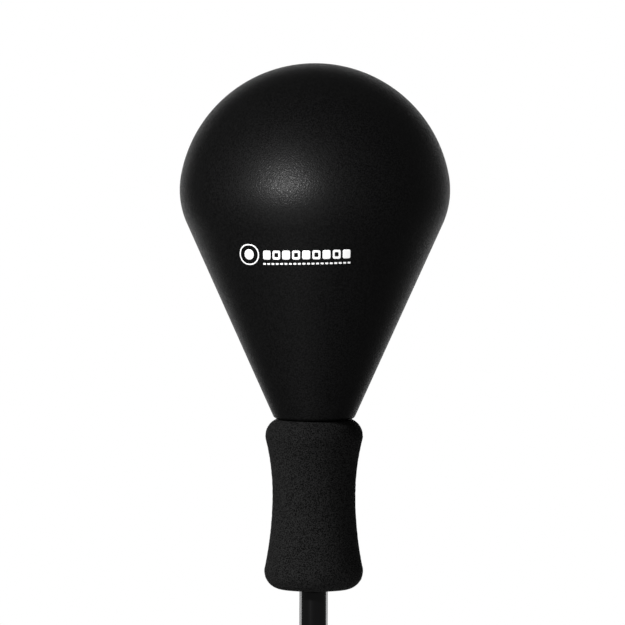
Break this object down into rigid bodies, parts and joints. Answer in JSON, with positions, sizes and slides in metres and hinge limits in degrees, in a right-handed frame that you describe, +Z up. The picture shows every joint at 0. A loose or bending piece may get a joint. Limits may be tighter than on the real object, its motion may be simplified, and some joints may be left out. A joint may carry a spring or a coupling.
{
  "type": "spring reflex bag",
  "caption": "Free-standing reflex bag: a teardrop ball on a coil spring inside a foam sleeve, on a telescopic pole with a clamp knob and a ballasted round base.",
  "frame": {"origin": "centre of the base on the floor, under the pole's axis", "axes": "+Z up the pole to the ball, -Y towards the puncher, +X towards the clamp knob"},
  "size_m": [0.4792, 0.4792, 1.4999],
  "materials": {
    "ball_skin": "satin",
    "bladder_rubber": "matte",
    "sleeve_foam": "matte",
    "tube_gloss": "gloss",
    "spring_steel": "satin",
    "zinc_steel": "satin",
    "cup_steel": "satin",
    "brass": "satin",
    "tank_plastic": "matte",
    "fitting_plastic": "satin",
    "foot_rubber": "matte",
    "sand": "matte"
  },
  "bodies": {
    "base": {"base_tank": "tank_plastic", "ballast_sand": "sand", "base_collar": "fitting_plastic", "collar_screw": "zinc_steel", "base_washer": "zinc_steel", "base_bolt": "zinc_steel", "tube_end_nut": "zinc_steel", "lower_tube": "tube_gloss", "top_bush": "fitting_plastic", "clamp_collar": "fitting_plastic", "clamp_nut": "zinc_steel", "collar_rivet": "zinc_steel", "rubber_foot_1": "foot_rubber", "rubber_foot_2": "foot_rubber", "rubber_foot_3": "foot_rubber", "rubber_foot_4": "foot_rubber", "rubber_foot_5": "foot_rubber", "rubber_foot_6": "foot_rubber"},
    "guide": {"tube_guide": "fitting_plastic"},
    "mast": {"upper_tube": "tube_gloss", "lower_spring_cup": "cup_steel", "lower_grub_screw_1": "zinc_steel", "lower_grub_screw_2": "zinc_steel", "cross_bolt": "zinc_steel", "cross_nut": "zinc_steel"},
    "spring": {"coil_spring": "spring_steel", "foam_sleeve": "sleeve_foam"},
    "ball": {"ball_cover": "ball_skin", "ball_bladder": "bladder_rubber", "inflation_valve": "bladder_rubber", "neck_plug": "fitting_plastic", "plug_insert": "brass", "mount_bolt": "zinc_steel", "mount_nut": "zinc_steel", "upper_spring_cup": "cup_steel", "upper_grub_screw_1": "zinc_steel", "upper_grub_screw_2": "zinc_steel"},
    "pad": {"clamp_pad": "brass"},
    "knob": {"clamp_screw": "zinc_steel", "clamp_knob": "fitting_plastic"},
    "cap_seal": {"cap_gasket": "foot_rubber"},
    "cap": {"filler_cap": "fitting_plastic"}
  },
  "joints": [
    {"name": "height_slide", "type": "slide", "parent": "base", "child": "guide", "axis": [0, 0, 1], "range_m": [-0.2, 0.1]},
    {"name": "pole_turn", "type": "hinge", "parent": "guide", "child": "mast", "pos_m": [0, 0, 0.79], "axis": [0, 0, 1], "continuous": true},
    {"name": "sway_fore_aft", "type": "hinge", "parent": "mast", "child": "spring", "pos_m": [0, 0, 1.10285], "axis": [1, 0, 0], "range_deg": [-45, 45], "stiffness_Nm_per_rad": 14, "deforming": ["coil_spring", "foam_sleeve"]},
    {"name": "sway_side", "type": "hinge", "parent": "spring", "child": "ball", "pos_m": [0, 0, 1.14495], "axis": [0, 1, 0], "range_deg": [-45, 45], "stiffness_Nm_per_rad": 14, "deforming": ["coil_spring", "foam_sleeve"]},
    {"name": "clamp_travel", "type": "slide", "parent": "base", "child": "pad", "axis": [1, 0, 0], "range_m": [0, 0.005]},
    {"name": "knob_turn", "type": "hinge", "parent": "pad", "child": "knob", "pos_m": [0, 0, 0.745], "axis": [1, 0, 0], "range_deg": [0, 1440]},
    {"name": "cap_rise", "type": "slide", "parent": "base", "child": "cap_seal", "axis": [0, 0, 1], "range_m": [0, 0.016]},
    {"name": "cap_turn", "type": "hinge", "parent": "cap_seal", "child": "cap", "pos_m": [0.10606, -0.1264, 0.1423], "axis": [0, 0, 1], "range_deg": [0, 1440]}
  ],
  "couplings": [
    {"joint": "knob_turn", "follows": "clamp_travel", "rad_per_m": 5026.5},
    {"joint": "cap_turn", "follows": "cap_rise", "rad_per_m": 1570.7}
  ]
}
